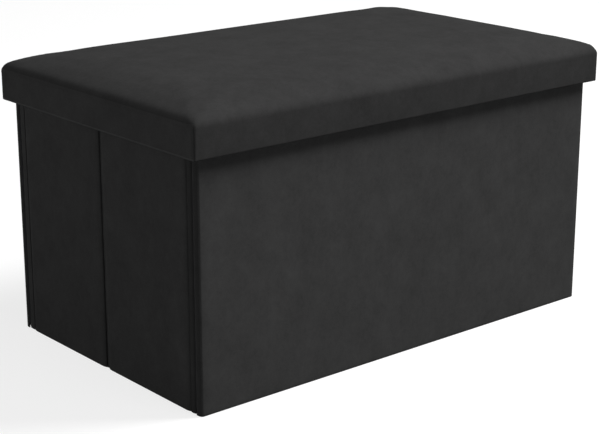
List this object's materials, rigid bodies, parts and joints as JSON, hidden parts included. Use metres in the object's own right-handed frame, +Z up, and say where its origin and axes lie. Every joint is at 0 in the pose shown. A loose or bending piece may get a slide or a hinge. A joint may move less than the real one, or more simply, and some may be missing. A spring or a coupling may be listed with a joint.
{
  "type": "storage ottoman",
  "caption": "Folding storage ottoman with a padded lift-off lid: velvet-covered wall boards, creased end walls that fold inwards, and a loose base board.",
  "frame": {"origin": "on the floor, in the middle under the closed ottoman", "axes": "+X along the length towards the right end, +Y from the front wall towards the rear wall, +Z up"},
  "size_m": [0.65, 0.4, 0.36],
  "materials": {
    "velvet": "matte",
    "lining": "matte",
    "webbing": "matte",
    "wall_board": "matte",
    "skirt_board": "matte",
    "foam": "matte",
    "staple_steel": "satin"
  },
  "bodies": {
    "rear_wall": {"base_board": "wall_board", "base_lining": "lining", "base_pull_tab": "webbing", "rear_wall_board": "wall_board", "rear_wall_cover": "velvet", "rear_wall_lining": "lining", "rear_wall_hem": "velvet", "left_rear_hinge_strip": "velvet", "right_rear_hinge_strip": "velvet"},
    "left_rear_panel": {"left_rear_panel_board": "wall_board", "left_rear_panel_cover": "velvet", "left_rear_panel_lining": "lining", "left_rear_panel_hem": "velvet", "left_crease_strip": "velvet"},
    "left_front_panel": {"left_front_panel_board": "wall_board", "left_front_panel_cover": "velvet", "left_front_panel_lining": "lining", "left_front_panel_hem": "velvet"},
    "front_wall": {"front_wall_board": "wall_board", "front_wall_cover": "velvet", "front_wall_lining": "lining", "front_wall_hem": "velvet", "left_front_hinge_strip": "velvet", "right_front_hinge_strip": "velvet"},
    "right_rear_panel": {"right_rear_panel_board": "wall_board", "right_rear_panel_cover": "velvet", "right_rear_panel_lining": "lining", "right_rear_panel_hem": "velvet", "right_crease_strip": "velvet"},
    "right_front_panel": {"right_front_panel_board": "wall_board", "right_front_panel_cover": "velvet", "right_front_panel_lining": "lining", "right_front_panel_hem": "velvet"},
    "lid": {"lid_board": "wall_board", "lid_foam": "foam", "lid_cover": "velvet", "lid_lining": "lining", "lid_skirt_lining": "lining", "lid_front_skirt_board": "skirt_board", "lid_rear_skirt_board": "skirt_board", "lid_left_skirt_board": "skirt_board", "lid_right_skirt_board": "skirt_board", "lid_staples": "staple_steel"}
  },
  "joints": [
    {"name": "left_rear_hinge", "type": "hinge", "parent": "rear_wall", "child": "left_rear_panel", "pos_m": [-0.314, 0.1686, 0], "axis": [0, 0, 1], "range_deg": [0, 85], "deforming": ["left_rear_hinge_strip", "left_rear_panel_hem"]},
    {"name": "left_crease", "type": "hinge", "parent": "left_rear_panel", "child": "left_front_panel", "pos_m": [-0.314, 0, 0], "axis": [0, 0, 1], "range_deg": [-170, 0], "deforming": ["left_crease_strip", "left_front_panel_hem"]},
    {"name": "left_front_hinge", "type": "hinge", "parent": "left_front_panel", "child": "front_wall", "pos_m": [-0.314, -0.1686, 0], "axis": [0, 0, 1], "range_deg": [0, 85], "deforming": ["left_front_hinge_strip", "right_front_hinge_strip", "front_wall_hem"]},
    {"name": "right_rear_hinge", "type": "hinge", "parent": "rear_wall", "child": "right_rear_panel", "pos_m": [0.314, 0.1686, 0], "axis": [0, 0, -1], "range_deg": [0, 85], "deforming": ["right_rear_hinge_strip", "right_rear_panel_hem"]},
    {"name": "right_crease", "type": "hinge", "parent": "right_rear_panel", "child": "right_front_panel", "pos_m": [0.314, 0, 0], "axis": [0, 0, -1], "range_deg": [-170, 0], "deforming": ["right_crease_strip", "right_front_panel_hem"]},
    {"name": "lid_lift", "type": "slide", "parent": "rear_wall", "child": "lid", "axis": [0, 0, 1], "range_m": [0, 0.2]}
  ],
  "couplings": [
    {"joint": "left_crease", "follows": "left_rear_hinge", "ratio": -2},
    {"joint": "left_front_hinge", "follows": "left_rear_hinge", "ratio": 1},
    {"joint": "right_rear_hinge", "follows": "left_rear_hinge", "ratio": 1},
    {"joint": "right_crease", "follows": "left_rear_hinge", "ratio": -2}
  ]
}
